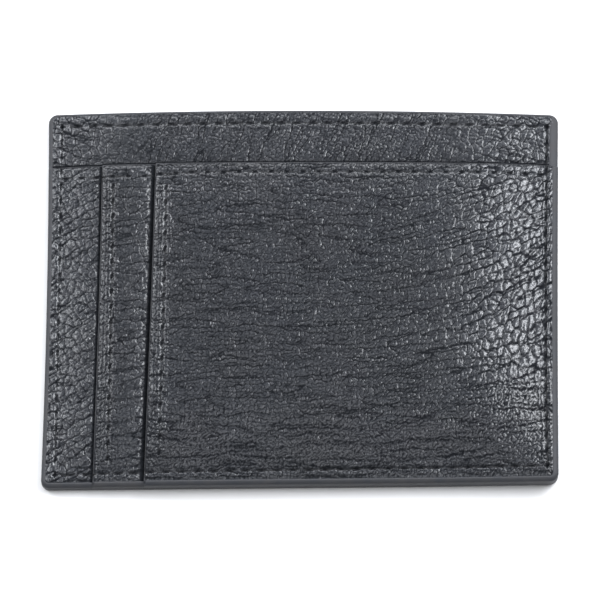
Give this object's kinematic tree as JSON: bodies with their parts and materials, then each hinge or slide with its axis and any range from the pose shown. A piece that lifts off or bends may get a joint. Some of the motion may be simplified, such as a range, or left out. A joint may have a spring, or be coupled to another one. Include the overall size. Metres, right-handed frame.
{
  "type": "card holder",
  "caption": "Flat stitched leather card holder with a top-opening centre pocket and side-opening card slots on the front, in dark grained leather with painted edges.",
  "frame": {"origin": "under the middle of the holder, in the plane of its rear face", "axes": "+X along the long side, +Y towards the top edge that the centre pocket opens to, +Z out of the front"},
  "size_m": [0.102, 0.0773, 0.0074],
  "materials": {
    "leather": "pebbled, semi-gloss",
    "rear_leather": "pebbled, semi-gloss",
    "edge_paint": "smooth painted edge, satin",
    "thread": "waxed twisted thread",
    "lining_cloth": "fine twill",
    "board": "uncoated"
  },
  "bodies": {
    "root": {"base_lining": "lining_cloth", "base_panel": "leather", "divider_panel": "leather", "perimeter_bobbin_thread": "thread", "perimeter_edge_paint": "edge_paint", "perimeter_needle_thread": "thread", "pocket_mouth_bobbin_thread": "thread", "pocket_mouth_edge_paint": "edge_paint", "pocket_mouth_needle_thread": "thread", "rear_panel": "rear_leather", "rear_stiffener": "board", "slot_1_edge_paint": "edge_paint", "slot_1_lining": "lining_cloth", "slot_1_mouth_bobbin_thread": "thread", "slot_1_mouth_needle_thread": "thread", "slot_1_panel": "leather", "slot_1_stop_bobbin_thread": "thread", "slot_1_stop_needle_thread": "thread", "slot_2_edge_paint": "edge_paint", "slot_2_lining": "lining_cloth", "slot_2_mouth_bobbin_thread": "thread", "slot_2_mouth_needle_thread": "thread", "slot_2_panel": "leather"}
  },
  "joints": []
}
